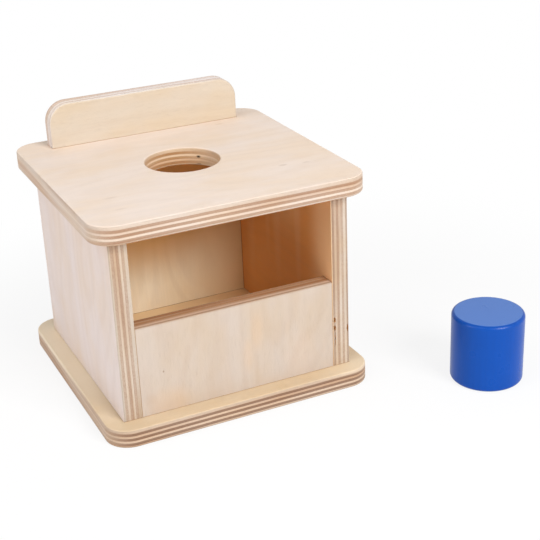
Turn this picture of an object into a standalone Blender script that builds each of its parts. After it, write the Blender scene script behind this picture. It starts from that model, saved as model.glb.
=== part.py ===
"""Object permanence box for babies, in birch plywood, with its loose turned cylinder.

The cylinder is dropped through the round hole in the top and taken out again
at the open front, over a low lip. A stop stands behind the hole. The panels are
butted, glued and held by hidden fluted dowels.

Metres, +Z up. The origin is the middle of the underside, and the open front
faces -Y.
"""

import math

import bmesh
import bpy
from mathutils import Vector

# Plywood
PANEL = 0.012  # thickness of the two plates, the sides, the lip and the stop
BACK_PANEL = 0.009  # the back is cut from thinner board
GLUE_LINE = 0.0003  # left open at every glued joint
EASE = 0.0012  # radius of the sanded edges
EASE_STEPS = 3
CORNER_STEPS = 8
SHARP_ANGLE = math.radians(50)

# The four walls between the plates
BOX_WIDTH = 0.157  # over both sides
BOX_DEPTH = 0.150  # front edges to rear edges of the sides
WALL_HEIGHT = 0.1205
LIP_HEIGHT = 0.0605

# How far each plate reaches past the walls
BASE_SIDE_MARGIN = 0.0115
BASE_FRONT_MARGIN = 0.012
BASE_REAR_MARGIN = 0.015
BASE_CORNER = 0.016
TOP_SIDE_MARGIN = 0.0105
TOP_FRONT_MARGIN = 0.0125
TOP_REAR_MARGIN = 0.015
TOP_CORNER = 0.016

# Stop behind the hole
STOP_WIDTH = 0.135
STOP_HEIGHT = 0.0295
STOP_CORNER = 0.014
STOP_REAR_INSET = 0.0095  # its rear face, in from the rear edge of the top
STOP_SHIFT = 0.0012  # it stands a little right of the middle

# Cylinder, and the hole that it drops through
CYLINDER_DIAMETER = 0.0472
CYLINDER_HEIGHT = 0.0469
CYLINDER_EASE = 0.0025
CYLINDER_EASE_STEPS = 5
CYLINDER_X = 0.1579  # where it stands beside the box
CYLINDER_Y = -0.1179
HOLE_PLAY = 0.00055  # all round the cylinder
ROUND_STEPS = 64

# Dowels
DOWEL = 0.006
THIN_DOWEL = 0.005  # in the edges of the back panel
EDGE_DEPTH = 0.022  # how far a dowel runs into a panel's edge
STOP_EDGE_DEPTH = 0.016
SKIN = 0.004  # wood left under a dowel in a panel's face
WEB = 0.003  # wood left between dowels that meet in the top from above and below
DOWEL_PLAY = 0.0003  # all round a dowel, for the glue
DOWEL_END_PLAY = 0.0005  # beyond each end of a dowel
DOWEL_CHAMFER = 0.0006
FLUTES = 8
FLUTE_DEPTH = 0.00022

# Places of the dowels
SIDE_DOWELS = 3  # along each edge of a side
SIDE_DOWEL_MARGIN = 0.026
BACK_DOWEL_SPACING = 0.070
BACK_END_DOWEL_MARGIN = 0.036
LIP_DOWEL_SPACING = 0.050
LIP_END_DOWEL_MARGIN = 0.012
LIP_END_DOWEL_SPACING = 0.018
STOP_DOWELS = 3
STOP_DOWEL_MARGIN = 0.0175

# Worked out from the sizes above
BASE_WIDTH = BOX_WIDTH + 2 * BASE_SIDE_MARGIN
BASE_DEPTH = BOX_DEPTH + BASE_FRONT_MARGIN + BASE_REAR_MARGIN
TOP_WIDTH = BOX_WIDTH + 2 * TOP_SIDE_MARGIN
TOP_DEPTH = BOX_DEPTH + TOP_FRONT_MARGIN + TOP_REAR_MARGIN
BOX_FRONT = -BASE_DEPTH / 2 + BASE_FRONT_MARGIN
BOX_REAR = BOX_FRONT + BOX_DEPTH
INNER_HALF = BOX_WIDTH / 2 - PANEL
SIDE_X = BOX_WIDTH / 2 - PANEL / 2
LIP_Y = BOX_FRONT + PANEL / 2
BACK_Y = BOX_REAR - BACK_PANEL / 2
TOP_UNDERSIDE = PANEL + WALL_HEIGHT
TOP_FACE = TOP_UNDERSIDE + PANEL
TOP_Y = BOX_FRONT - TOP_FRONT_MARGIN + TOP_DEPTH / 2
STOP_Y = BOX_REAR + TOP_REAR_MARGIN - STOP_REAR_INSET - PANEL / 2
HOLE_RADIUS = CYLINDER_DIAMETER / 2 + HOLE_PLAY
FACE_DEPTH = PANEL - SKIN
SHARED_FACE_DEPTH = (PANEL - WEB) / 2

LEFT, RIGHT = -1, 1
UP = Vector((0, 0, 1))
DOWN = Vector((0, 0, -1))
SIDEWAYS = Vector((1, 0, 0))

# Finishes, as red, green and blue from 0 to 255
PLYWOOD_TOP = (240, 225, 209)
PLYWOOD_SIDE = (226, 209, 194)
PLYWOOD_FRONT = (231, 211, 188)
PLYWOOD_BASE = (228, 206, 184)
PLYWOOD_INSIDE = (222, 192, 156)
BEECH = (214, 174, 132)
BLUE_LACQUER = (24, 80, 186)


def clear_scene():
    for thing in list(bpy.data.objects):
        bpy.data.objects.remove(thing)


def new_collection(name):
    collection = bpy.data.collections.new(name)
    bpy.context.scene.collection.children.link(collection)
    return collection


def linear(value):
    """A channel from 0 to 255, as the linear value that a shader takes."""
    value = value / 255
    if value <= 0.04045:
        return value / 12.92
    return ((value + 0.055) / 1.055) ** 2.4


def finish(name, colour, roughness, coat=0.0):
    material = bpy.data.materials.new(name)
    material.use_nodes = True
    shader = material.node_tree.nodes["Principled BSDF"]
    rgb = [linear(channel) for channel in colour]
    shader.inputs["Base Color"].default_value = (*rgb, 1.0)
    shader.inputs["Roughness"].default_value = roughness
    shader.inputs["Metallic"].default_value = 0.0
    shader.inputs["Coat Weight"].default_value = coat
    material.diffuse_color = (*rgb, 1.0)
    return material


def add_piece(name, mesh, place, collection, parent=None, material=None):
    piece = bpy.data.objects.new(name, mesh)
    piece.location = place
    piece.parent = parent
    if material:
        mesh.materials.append(material)
    collection.objects.link(piece)
    return piece


def box_mesh(name, size):
    """A box of this size, centred on its own origin."""
    shape = bmesh.new()
    bmesh.ops.create_cube(shape, size=1.0)
    bmesh.ops.scale(shape, vec=size, verts=shape.verts)
    mesh = bpy.data.meshes.new(name)
    shape.to_mesh(mesh)
    shape.free()
    return mesh


def weigh_edges(mesh, chosen):
    """Marks the edges that a weighted Bevel rounds: chosen gets each edge's middle and direction."""
    weights = mesh.attributes.new("bevel_weight_edge", "FLOAT", "EDGE")
    for edge in mesh.edges:
        start, end = (mesh.vertices[index].co for index in edge.vertices)
        weights.data[edge.index].value = float(chosen((start + end) / 2, (end - start).normalized()))


def bevel(piece, name, width, steps, by_weight=False):
    rounding = piece.modifiers.new(name, "BEVEL")
    rounding.width = width
    rounding.segments = steps
    rounding.limit_method = "WEIGHT" if by_weight else "ANGLE"
    rounding.angle_limit = SHARP_ANGLE
    rounding.use_clamp_overlap = False


def cut(piece, cutter):
    hole = piece.modifiers.new(cutter.name, "BOOLEAN")
    hole.operation = "DIFFERENCE"
    hole.solver = "EXACT"
    hole.object = cutter


def shade_round(mesh):
    mesh.shade_smooth()
    mesh.set_sharp_from_angle(angle=SHARP_ANGLE)


def turned_mesh(name, profile):
    """The half section of a turned piece, as (radius, height) points from its top down to its foot."""
    mesh = bpy.data.meshes.new(name)
    points = [(radius, 0, height) for radius, height in profile]
    mesh.from_pydata(points, [(i, i + 1) for i in range(len(points) - 1)], [])
    return mesh


def turn(piece):
    turning = piece.modifiers.new("turning", "SCREW")
    turning.axis = "Z"
    turning.steps = ROUND_STEPS
    turning.render_steps = ROUND_STEPS
    turning.use_merge_vertices = True
    turning.merge_threshold = 0.00001
    turning.use_smooth_shade = True


def quarter(centre, radius, start, steps):
    """Points of a quarter round about centre, which turns clockwise from the angle start."""
    points = []
    for step in range(steps + 1):
        angle = math.radians(start - 90 * step / steps)
        points.append((centre[0] + radius * math.cos(angle), centre[1] + radius * math.sin(angle)))
    return points


def plate(name, width, depth, corner, place, **where):
    """A level plate with round corners and every edge eased."""
    mesh = box_mesh(name, (width, depth, PANEL))
    weigh_edges(mesh, lambda middle, along: abs(along.z) > 0.9)
    piece = add_piece(name, mesh, place, **where)
    bevel(piece, "corners", corner, CORNER_STEPS, by_weight=True)
    bevel(piece, "eased edges", EASE, EASE_STEPS)
    return piece


def side(name, way, **where):
    """An upright side, whose outer front and rear edges are eased. way is LEFT or RIGHT."""
    height = WALL_HEIGHT - 2 * GLUE_LINE
    mesh = box_mesh(name, (PANEL, BOX_DEPTH, height))
    weigh_edges(mesh, lambda middle, along: abs(along.z) > 0.9 and middle.x * way > 0)
    place = (way * SIDE_X, BOX_FRONT + BOX_DEPTH / 2, PANEL + WALL_HEIGHT / 2)
    piece = add_piece(name, mesh, place, **where)
    bevel(piece, "eased edges", EASE, EASE_STEPS, by_weight=True)
    return piece


def back_panel(**where):
    width = 2 * (INNER_HALF - GLUE_LINE)
    mesh = box_mesh("back_panel", (width, BACK_PANEL, WALL_HEIGHT - 2 * GLUE_LINE))
    return add_piece("back_panel", mesh, (0, BACK_Y, PANEL + WALL_HEIGHT / 2), **where)


def front_lip(**where):
    """The low wall that keeps the cylinder in: its two top edges are eased."""
    height = LIP_HEIGHT - GLUE_LINE
    mesh = box_mesh("front_lip", (2 * (INNER_HALF - GLUE_LINE), PANEL, height))
    weigh_edges(mesh, lambda middle, along: abs(along.x) > 0.9 and middle.z > 0)
    place = (0, LIP_Y, PANEL + GLUE_LINE + height / 2)
    piece = add_piece("front_lip", mesh, place, **where)
    bevel(piece, "eased edges", EASE, EASE_STEPS, by_weight=True)
    return piece


def back_stop(**where):
    """The upright stop, with round upper corners."""
    height = STOP_HEIGHT - GLUE_LINE
    mesh = box_mesh("back_stop", (STOP_WIDTH, PANEL, height))
    weigh_edges(mesh, lambda middle, along: abs(along.y) > 0.9 and middle.z > 0)
    place = (STOP_SHIFT, STOP_Y, TOP_FACE + GLUE_LINE + height / 2)
    piece = add_piece("back_stop", mesh, place, **where)
    bevel(piece, "corners", STOP_CORNER, CORNER_STEPS, by_weight=True)
    bevel(piece, "eased edges", EASE, EASE_STEPS)
    return piece


def top_hole_cutter(collection, parent):
    """What the hole in the top removes: a straight bore that flares by the easing of its two rims."""
    half = PANEL / 2
    beyond = half + PANEL
    flare = HOLE_RADIUS + EASE
    rounding = quarter((0, half - EASE), EASE, 90, EASE_STEPS)
    upper = [(flare - across, height) for across, height in rounding]
    lower = [(radius, -height) for radius, height in reversed(upper)]
    profile = [(0, beyond), (flare, beyond), *upper, *lower, (flare, -beyond), (0, -beyond)]
    cutter = add_piece(
        "top_hole",
        turned_mesh("top_hole", profile),
        (0, TOP_Y, TOP_UNDERSIDE + half),
        collection=collection,
        parent=parent,
    )
    turn(cutter)
    hide(cutter)
    return cutter


def cylinder(**where):
    """The turned cylinder. It stands on its foot, with its origin on its own axis."""
    radius = CYLINDER_DIAMETER / 2
    rim = radius - CYLINDER_EASE
    top_round = quarter((rim, CYLINDER_HEIGHT - CYLINDER_EASE), CYLINDER_EASE, 90, CYLINDER_EASE_STEPS)
    foot_round = quarter((rim, CYLINDER_EASE), CYLINDER_EASE, 0, CYLINDER_EASE_STEPS)
    profile = [(0, CYLINDER_HEIGHT), *top_round, *foot_round, (0, 0)]
    piece = add_piece("cylinder", turned_mesh("cylinder", profile), (0, 0, 0), **where)
    turn(piece)
    return piece


def spread(first, last, count):
    return [first + (last - first) * i / (count - 1) for i in range(count)]


def hide(cutter):
    cutter.hide_render = True
    cutter.display_type = "WIRE"


class DowelJoint:
    """A row of dowels across one glued joint.

    points are where the dowels cross the joint, and into_face points into the
    panel that is drilled in its face. The other panel is drilled in its edge.
    """

    def __init__(
        self, name, points, into_face, diameter=DOWEL, face_depth=FACE_DEPTH, edge_depth=EDGE_DEPTH
    ):
        self.name = name
        self.points = [Vector(point) for point in points]
        self.into_face = into_face
        self.diameter = diameter
        self.face_depth = face_depth
        self.edge_depth = edge_depth
        self.length = face_depth + edge_depth - 2 * DOWEL_END_PLAY

    def centres(self):
        offset = self.into_face * (self.face_depth - self.edge_depth) / 2
        return [point + offset for point in self.points]

    def turned_to_face(self):
        return UP.rotation_difference(self.into_face).to_euler()


def dowel_joints():
    joints = []
    rows = spread(BOX_FRONT + SIDE_DOWEL_MARGIN, BOX_REAR - SIDE_DOWEL_MARGIN, SIDE_DOWELS)
    back_xs = (-BACK_DOWEL_SPACING / 2, BACK_DOWEL_SPACING / 2)
    back_zs = (PANEL + BACK_END_DOWEL_MARGIN, TOP_UNDERSIDE - BACK_END_DOWEL_MARGIN)
    lip_xs = (-LIP_DOWEL_SPACING / 2, LIP_DOWEL_SPACING / 2)
    lip_top_z = PANEL + LIP_HEIGHT - LIP_END_DOWEL_MARGIN
    lip_zs = (lip_top_z - LIP_END_DOWEL_SPACING, lip_top_z)
    stop_half = STOP_WIDTH / 2 - STOP_DOWEL_MARGIN
    stop_xs = spread(STOP_SHIFT - stop_half, STOP_SHIFT + stop_half, STOP_DOWELS)
    for name, way in (("left", LEFT), ("right", RIGHT)):
        x = way * SIDE_X
        face_x = way * INNER_HALF
        joints.append(DowelJoint(f"dowel_base_{name}", [(x, y, PANEL) for y in rows], DOWN))
        joints.append(DowelJoint(f"dowel_top_{name}", [(x, y, TOP_UNDERSIDE) for y in rows], UP))
        points = [(face_x, BACK_Y, z) for z in back_zs]
        joints.append(DowelJoint(f"dowel_back_{name}", points, way * SIDEWAYS, THIN_DOWEL))
        points = [(face_x, LIP_Y, z) for z in lip_zs]
        joints.append(DowelJoint(f"dowel_lip_{name}", points, way * SIDEWAYS))
    points = [(x, BACK_Y, PANEL) for x in back_xs]
    joints.append(DowelJoint("dowel_base_back", points, DOWN, THIN_DOWEL))
    points = [(x, BACK_Y, TOP_UNDERSIDE) for x in back_xs]
    joints.append(DowelJoint("dowel_top_back", points, UP, THIN_DOWEL, SHARED_FACE_DEPTH))
    joints.append(DowelJoint("dowel_base_lip", [(x, LIP_Y, PANEL) for x in lip_xs], DOWN))
    points = [(x, STOP_Y, TOP_FACE) for x in stop_xs]
    joints.append(DowelJoint("dowel_stop", points, DOWN, DOWEL, SHARED_FACE_DEPTH, STOP_EDGE_DEPTH))
    return joints


def fluted_mesh(name, diameter, length):
    """A straight dowel with flutes along it, which let the glue run."""
    shape = bmesh.new()
    radius = diameter / 2
    bmesh.ops.create_cone(
        shape, cap_ends=True, segments=2 * FLUTES, radius1=radius, radius2=radius, depth=length
    )
    for vertex in shape.verts:
        turn_of_ring = math.atan2(vertex.co.y, vertex.co.x) / math.tau * 2 * FLUTES
        if round(turn_of_ring) % 2:
            across = Vector((vertex.co.x, vertex.co.y, 0))
            vertex.co -= across.normalized() * FLUTE_DEPTH
    mesh = bpy.data.meshes.new(name)
    shape.to_mesh(mesh)
    shape.free()
    return mesh


def add_dowels(joint, **where):
    for number, centre in enumerate(joint.centres(), 1):
        name = f"{joint.name}_{number}"
        dowel = add_piece(name, fluted_mesh(name, joint.diameter, joint.length), centre, **where)
        dowel.rotation_euler = joint.turned_to_face()
        bevel(dowel, "chamfered ends", DOWEL_CHAMFER, 1)


def dowel_hole_cutter(joints, collection, parent):
    """Every dowel's hole, as one cutter: half of each lies in one panel and half in the other."""
    shape = bmesh.new()
    for joint in joints:
        radius = joint.diameter / 2 + DOWEL_PLAY
        depth = joint.face_depth + joint.edge_depth
        for centre in joint.centres():
            made = bmesh.ops.create_cone(
                shape, cap_ends=True, segments=2 * FLUTES, radius1=radius, radius2=radius, depth=depth
            )
            turned = joint.turned_to_face().to_matrix()
            bmesh.ops.rotate(shape, verts=made["verts"], cent=(0, 0, 0), matrix=turned)
            bmesh.ops.translate(shape, verts=made["verts"], vec=centre)
    mesh = bpy.data.meshes.new("dowel_holes")
    shape.to_mesh(mesh)
    shape.free()
    cutter = add_piece("dowel_holes", mesh, (0, 0, 0), collection=collection, parent=parent)
    hide(cutter)
    return cutter


def add_anchor(name, place, collection):
    anchor = bpy.data.objects.new(name, None)
    anchor.location = place
    collection.objects.link(anchor)
    return anchor


def main():
    clear_scene()
    parts = new_collection("object_permanence_box")
    cutters = new_collection("cutters")
    box_anchor = add_anchor("box_anchor", (0, 0, 0), parts)
    cylinder_anchor = add_anchor("cylinder_anchor", (CYLINDER_X, CYLINDER_Y, 0), parts)
    on_box = {"collection": parts, "parent": box_anchor}

    base_finish = finish("base plywood", PLYWOOD_BASE, 0.55)
    side_finish = finish("side plywood", PLYWOOD_SIDE, 0.55)
    top_finish = finish("top plywood", PLYWOOD_TOP, 0.5)
    front_finish = finish("front plywood", PLYWOOD_FRONT, 0.55)
    inside_finish = finish("inside plywood", PLYWOOD_INSIDE, 0.6)
    dowel_finish = finish("beech dowel", BEECH, 0.7)
    cylinder_finish = finish("blue lacquer", BLUE_LACQUER, 0.3, coat=0.4)

    base_place = (0, 0, PANEL / 2)
    top_place = (0, TOP_Y, TOP_UNDERSIDE + PANEL / 2)
    base = plate(
        "base_plate", BASE_WIDTH, BASE_DEPTH, BASE_CORNER, base_place, material=base_finish, **on_box
    )
    top = plate("top_plate", TOP_WIDTH, TOP_DEPTH, TOP_CORNER, top_place, material=top_finish, **on_box)
    left = side("left_side", LEFT, material=side_finish, **on_box)
    right = side("right_side", RIGHT, material=side_finish, **on_box)
    back = back_panel(material=inside_finish, **on_box)
    lip = front_lip(material=front_finish, **on_box)
    stop = back_stop(material=top_finish, **on_box)

    joints = dowel_joints()
    dowel_holes = dowel_hole_cutter(joints, cutters, box_anchor)
    cut(top, top_hole_cutter(cutters, box_anchor))
    for panel in (base, top, left, right, back, lip, stop):
        cut(panel, dowel_holes)
        shade_round(panel.data)
    for joint in joints:
        add_dowels(joint, material=dowel_finish, **on_box)

    cylinder(collection=parts, parent=cylinder_anchor, material=cylinder_finish)


main()
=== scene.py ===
import math

import bmesh
import bpy
from bpy.props import FloatProperty, FloatVectorProperty, IntProperty, PointerProperty
from bpy.types import Operator, Panel, PropertyGroup
from mathutils import Matrix, Vector


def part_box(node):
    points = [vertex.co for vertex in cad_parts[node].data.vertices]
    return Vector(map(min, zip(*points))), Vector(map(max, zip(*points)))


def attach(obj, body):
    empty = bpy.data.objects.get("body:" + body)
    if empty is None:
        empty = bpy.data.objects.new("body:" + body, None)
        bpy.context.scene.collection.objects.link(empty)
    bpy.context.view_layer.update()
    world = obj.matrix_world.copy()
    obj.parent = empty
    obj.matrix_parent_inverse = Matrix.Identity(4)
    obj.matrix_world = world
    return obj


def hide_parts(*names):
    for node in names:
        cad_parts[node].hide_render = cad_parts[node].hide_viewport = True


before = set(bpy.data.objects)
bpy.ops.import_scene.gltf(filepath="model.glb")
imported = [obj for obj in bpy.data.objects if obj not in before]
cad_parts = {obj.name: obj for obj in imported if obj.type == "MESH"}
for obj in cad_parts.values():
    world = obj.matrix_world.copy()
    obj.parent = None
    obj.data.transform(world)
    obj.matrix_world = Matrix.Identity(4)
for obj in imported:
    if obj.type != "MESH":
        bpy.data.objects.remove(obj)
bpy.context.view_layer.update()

bl_info = {
    "name": "Object permanence box",
    "version": (1, 0, 0),
    "blender": (4, 5, 0),
    "location": "View3D > Sidebar > Permanence Box",
    "description": "A birch plywood toy box and its loose lacquered cylinder, on a pale stage",
    "category": "Add Mesh",
}

LEFT = Vector((-1, 0, 0))
RIGHT = Vector((1, 0, 0))
FRONT = Vector((0, -1, 0))
REAR = Vector((0, 1, 0))
UP = Vector((0, 0, 1))
ACROSS, UPRIGHT = 0, 2  # the axes that joints and dowels run along

SHARP_ANGLE = math.radians(50)
TOUCHING = 0.00001  # two places closer than this are one
PARALLEL = 0.9  # an edge with more than this share of an axis in its direction runs along it
DOWEL_PLAY = 0.0003  # glue room all round a dowel
DOWEL_END_PLAY = 0.0005  # glue room beyond each end of a dowel
HOLE_STEPS = 128
CYLINDER_STEPS = 192
DRILL_STEPS = 24
SPOT_CORE = 0.25  # the share of a mark's radius that shows in full


def srgb(red, green, blue):
    """A colour as a picture shows it, from 0 to 255, as the linear values that a shader takes."""
    linear = []
    for channel in (red, green, blue):
        share = channel / 255
        linear.append(share / 12.92 if share <= 0.04045 else ((share + 0.055) / 1.055) ** 2.4)
    return tuple(linear)


def middle_of(node):
    low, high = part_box(node)
    return (low + high) / 2


def measured_hole_radius():
    """The hole in the top, from the frame: nothing of the top plate lies nearer to its middle."""
    centre = middle_of("top_plate")
    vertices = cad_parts["top_plate"].data.vertices
    return min(math.hypot(vertex.co.x - centre.x, vertex.co.y - centre.y) for vertex in vertices)


# What a user would change


def length(name, description, default):
    return FloatProperty(
        name=name, description=description, default=default, min=0.0, unit="LENGTH", precision=5
    )


def count(name, description, default, least, most):
    return IntProperty(name=name, description=description, default=default, min=least, max=most)


def watts(name, description, default):
    return FloatProperty(name=name, description=description, default=default, min=0.0, subtype="POWER")


def colour(name, description, *picture_colour):
    default = srgb(*picture_colour)
    return FloatVectorProperty(
        name=name, description=description, default=default, min=0.0, max=1.0, size=3, subtype="COLOR"
    )


class PermanenceBoxSizes(PropertyGroup):
    """Sizes that the frame doesn't set."""

    arris: length("Arris radius", "Radius of the sanded edges of the boards", 0.0012)
    arris_steps: count("Arris steps", "Facets round a sanded edge", 5, 2, 12)
    plate_corner: length("Plate corner", "Radius of the corners of the base and the top", 0.016)
    stop_corner: length("Stop corner", "Radius of the stop's upper corners", 0.014)
    corner_steps: count("Corner steps", "Facets round a corner", 20, 4, 48)
    hole_radius: length("Hole radius", "Radius of the hole in the top", measured_hole_radius())
    cylinder_rim: length("Cylinder rim", "Radius of the cylinder's two rims", 0.0025)
    rim_steps: count("Rim steps", "Facets round a rim of the cylinder", 7, 2, 24)
    glue_inset: length("Glue inset", "How far the glue stays back from the edge of a joint", 0.00015)


class PermanenceBoxFinishes(PropertyGroup):
    """Colours of the sealed plywood, the dowels, the glue and the lacquer."""

    top_veneer: colour("Top veneer", "Upper face of the top", 231, 215, 203)
    stop_veneer: colour("Stop veneer", "Faces of the stop", 199, 185, 168)
    stop_edge: colour("Stop edge", "Long plies on the edges of the stop", 247, 241, 239)
    stop_dark_ply: colour("Stop dark ply", "Cross plies on the edges of the stop", 242, 228, 223)
    side_veneer: colour("Side veneer", "Outer faces of the sides and the back", 213, 199, 194)
    lip_veneer: colour("Lip veneer", "Front of the lip", 187, 173, 161)
    base_veneer: colour("Base veneer", "Both faces of the base", 207, 186, 157)
    # A yellowish veneer, also painted lighter than the outer faces, as painted light inside the box
    back_veneer: colour("Back veneer", "Inner faces of the back, the left side and the lip", 245, 233, 209)
    # Partly painted: its warm orange, darker than the outer faces, stands in for the warm shade inside the
    # box
    warm_veneer: colour("Warm veneer", "Inner face of the right side, underside of the top", 232, 166, 101)
    light_ply: colour("Light ply", "Long plies on the edges of the top and the lip", 207, 190, 176)
    dark_ply: colour("Dark ply", "Cross plies on the edges of the top", 168, 141, 121)
    side_light_ply: colour("Side light ply", "Long plies of the sides and the back", 195, 181, 166)
    side_dark_ply: colour("Side dark ply", "Cross plies of the sides and the back", 174, 153, 136)
    base_light_ply: colour("Base light ply", "Long plies on the edges of the base", 196, 173, 152)
    base_dark_ply: colour("Base dark ply", "Cross plies on the edges of the base", 134, 108, 90)
    hole_light_ply: colour("Hole light ply", "Long plies round the hole", 214, 188, 161)
    hole_dark_ply: colour("Hole dark ply", "Cross plies round the hole, toasted by the saw", 171, 132, 91)
    lip_edge: colour("Lip edge", "End grain on the lip's top edge", 172, 132, 95)
    glue: colour("Glue", "Dried glue in the joints", 176, 136, 96)
    beech: colour("Beech", "The dowels", 214, 174, 132)
    lacquer: colour("Lacquer", "The cylinder", 0, 68, 155)
    # The flat ends, painted paler as a painted reflection of the pale surroundings
    end_sheen_lacquer: colour("Lacquer end sheen", "The cylinder's two flat ends", 72, 114, 186)


class PermanenceBoxStage(PropertyGroup):
    """Floor, light and camera."""

    floor_colour: colour("Floor", "The floor under the box", 238, 238, 238)
    sky_strength: FloatProperty(
        name="Sky", description="Strength of the even light from all round", default=0.45, min=0.0
    )
    key_power: watts("Key lamp", "The lamp in front, to the right", 24.0)
    side_power: watts("Side lamp", "The low lamp on the left", 9.0)
    fill_power: watts("Fill lamp", "The weak high lamp on the left", 3.0)
    shadow_share: FloatProperty(
        name="Shadow", description="Share of the shadow that the floor shows", default=0.16, subtype="FACTOR"
    )


def settings():
    scene = bpy.context.scene
    return scene.permanence_box_sizes, scene.permanence_box_finishes, scene.permanence_box_stage


# Modelling


def only(*pieces):
    """Selects these objects alone, the first one active."""
    bpy.ops.object.select_all(action="DESELECT")
    for piece in pieces:
        piece.select_set(True)
    bpy.context.view_layer.objects.active = pieces[0]


def added(name):
    """The primitive that was just added, under its name and with its place in its mesh."""
    piece = bpy.context.active_object
    piece.name = name
    piece.data.name = name
    bpy.ops.object.transform_apply(location=True, rotation=True, scale=True)
    return piece


def block(name, low, high):
    bpy.ops.object.select_all(action="DESELECT")
    bpy.ops.mesh.primitive_cube_add(size=1, location=(low + high) / 2, scale=high - low)
    return added(name)


def rod(name, centre, axis, radius, depth, steps):
    """A round bar about centre, along axis."""
    bpy.ops.object.select_all(action="DESELECT")
    bpy.ops.mesh.primitive_cylinder_add(
        vertices=steps,
        radius=radius,
        depth=depth,
        location=centre,
        rotation=UP.rotation_difference(axis).to_euler(),
    )
    return added(name)


def round_edges(piece, chosen, radius, steps):
    """Rounds the edges for which chosen(middle, along) is true."""
    only(piece)
    bpy.ops.object.mode_set(mode="EDIT")
    bpy.ops.mesh.select_mode(type="EDGE")
    bpy.ops.mesh.select_all(action="DESELECT")
    shape = bmesh.from_edit_mesh(piece.data)
    for edge in shape.edges:
        start, end = (vertex.co for vertex in edge.verts)
        edge.select_set(bool(chosen((start + end) / 2, (end - start).normalized())))
    shape.select_flush_mode()
    bmesh.update_edit_mesh(piece.data)
    bpy.ops.mesh.bevel(offset=radius, segments=steps, affect="EDGES", clamp_overlap=False)
    bpy.ops.object.mode_set(mode="OBJECT")


def sand(piece, chosen):
    """Rounds the arrises for which chosen(middle, along) is true, as sanding leaves them."""
    sizes, _, _ = settings()
    round_edges(piece, chosen, sizes.arris, sizes.arris_steps)


def cut(piece, cutter):
    """Takes the cutter's shape out of the piece, and removes the cutter."""
    hole = piece.modifiers.new("cut", "BOOLEAN")
    hole.operation = "DIFFERENCE"
    hole.solver = "EXACT"
    hole.object = cutter
    only(piece)
    bpy.ops.object.modifier_apply(modifier=hole.name)
    bpy.data.objects.remove(cutter)


def joined(pieces, name):
    only(*pieces)
    bpy.ops.object.join()
    piece = bpy.context.active_object
    piece.name = name
    return piece


def shade_round(piece):
    """Smooth roundings beside faces that stay flat."""
    only(piece)
    bpy.ops.object.shade_smooth_by_angle(angle=SHARP_ANGLE)
    weighted = piece.modifiers.new("flat faces", "WEIGHTED_NORMAL")
    weighted.mode = "FACE_AREA"
    weighted.keep_sharp = True
    bpy.ops.object.modifier_apply(modifier=weighted.name)


def at(value, *limits):
    """Whether the value is one of these limits."""
    return any(abs(value - limit) < TOUCHING for limit in limits)


def overlaps(first, second):
    (low_1, high_1), (low_2, high_2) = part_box(first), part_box(second)
    return all(low_1[i] < high_2[i] and low_2[i] < high_1[i] for i in range(3))


def dowel_names():
    return sorted(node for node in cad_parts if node.startswith("dowel_"))


def longest_axis(size):
    return max(range(3), key=lambda i: size[i])


def dowel_drill(names):
    """One cutter with the hole of each of these dowels."""
    holes = []
    for name in names:
        low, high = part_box(name)
        size = high - low
        run = longest_axis(size)
        axis = Vector([float(i == run) for i in range(3)])
        radius = min(size) / 2 + DOWEL_PLAY
        depth = size[run] + 2 * DOWEL_END_PLAY
        holes.append(rod("drill", (low + high) / 2, axis, radius, depth, DRILL_STEPS))
    return joined(holes, "dowel_drill")


def drill_for_dowels(piece, node):
    cut(piece, dowel_drill([name for name in dowel_names() if overlaps(name, node)]))


def finish_piece(piece, node, material):
    """Shades the piece, gives it its finish and puts it in its node's place."""
    shade_round(piece)
    piece.data.materials.clear()
    piece.data.materials.append(material)
    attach(piece, "cylinder" if node == "cylinder" else "box")
    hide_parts(node)


def plate(node):
    """A level board with round corners and sanded arrises."""
    sizes, _, _ = settings()
    low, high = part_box(node)
    piece = block(f"{node}_board", low, high)
    round_edges(
        piece, lambda middle, along: abs(along.z) > PARALLEL, sizes.plate_corner, sizes.corner_steps
    )
    sand(piece, lambda middle, along: at(middle.z, low.z, high.z))
    return piece


def edge_void(centre, radii, seed):
    """A cutter for a place where a ply is missing, as a rough hollow."""
    bpy.ops.object.select_all(action="DESELECT")
    bpy.ops.mesh.primitive_ico_sphere_add(subdivisions=3, radius=1, location=centre, scale=radii)
    piece = added("edge_void")
    bpy.ops.object.mode_set(mode="EDIT")
    bpy.ops.mesh.select_all(action="SELECT")
    bpy.ops.transform.vertex_random(offset=VOID_LUMPS, uniform=0.0, normal=0.0, seed=seed)
    bpy.ops.object.mode_set(mode="OBJECT")
    return piece


# Finishes


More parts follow.
